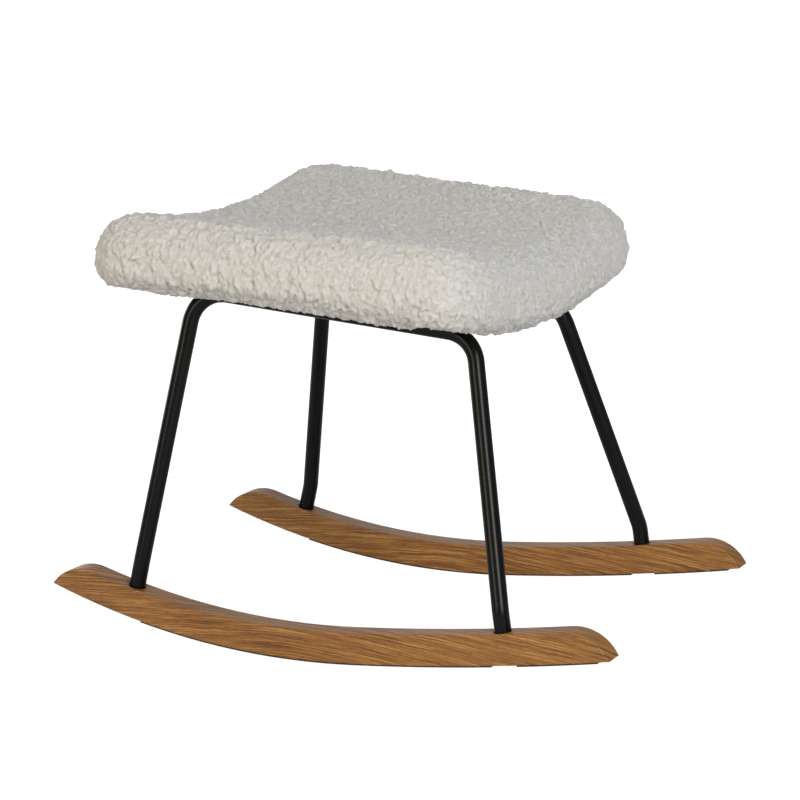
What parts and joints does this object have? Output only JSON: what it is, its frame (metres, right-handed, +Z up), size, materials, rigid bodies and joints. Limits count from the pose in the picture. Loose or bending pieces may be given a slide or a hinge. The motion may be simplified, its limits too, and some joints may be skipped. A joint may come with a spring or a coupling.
{
  "type": "rocking footstool",
  "caption": "Footstool on two curved wooden rockers joined by bent tube hoops, with a dished pile-covered pad that rocks under resting feet.",
  "frame": {"origin": "on the floor, under the middle of the box round the whole stool: the stool's mirror plane across, midway between the rockers' two tips along", "axes": "+X along the rockers, towards the end with the gapped glide strips and the lower side of the pad; +Y across, from one rocker to the other; +Z up"},
  "size_m": [0.5958, 0.464, 0.4267],
  "materials": {
    "rocker_oak": "satin",
    "strip_rubber": "matte",
    "frame_black": "satin",
    "zinc_steel": "satin",
    "plywood": "matte",
    "foam": "matte",
    "pile_cover": "matte",
    "dust_cloth": "matte"
  },
  "bodies": {
    "root": {"dust_cover": "dust_cloth", "front_end_strip": "strip_rubber", "front_hoop": "frame_black", "front_left_foot_plug": "zinc_steel", "front_left_foot_screw": "zinc_steel", "front_left_foot_washer": "zinc_steel", "front_left_seat_nut": "zinc_steel", "front_left_seat_screw": "zinc_steel", "front_left_seat_washer": "zinc_steel", "front_middle_strip": "strip_rubber", "front_right_foot_plug": "zinc_steel", "front_right_foot_screw": "zinc_steel", "front_right_foot_washer": "zinc_steel", "front_right_seat_nut": "zinc_steel", "front_right_seat_screw": "zinc_steel", "front_right_seat_washer": "zinc_steel", "front_rocker": "rocker_oak", "left_seat_strap": "frame_black", "rear_end_strip": "strip_rubber", "rear_hoop": "frame_black", "rear_left_foot_plug": "zinc_steel", "rear_left_foot_screw": "zinc_steel", "rear_left_foot_washer": "zinc_steel", "rear_left_seat_nut": "zinc_steel", "rear_left_seat_screw": "zinc_steel", "rear_left_seat_washer": "zinc_steel", "rear_middle_strip": "strip_rubber", "rear_right_foot_plug": "zinc_steel", "rear_right_foot_screw": "zinc_steel", "rear_right_foot_washer": "zinc_steel", "rear_right_seat_nut": "zinc_steel", "rear_right_seat_screw": "zinc_steel", "rear_right_seat_washer": "zinc_steel", "rear_rocker": "rocker_oak", "right_seat_strap": "frame_black", "seat_board": "plywood", "seat_cover": "pile_cover", "seat_foam": "foam", "staples": "zinc_steel"}
  },
  "joints": []
}
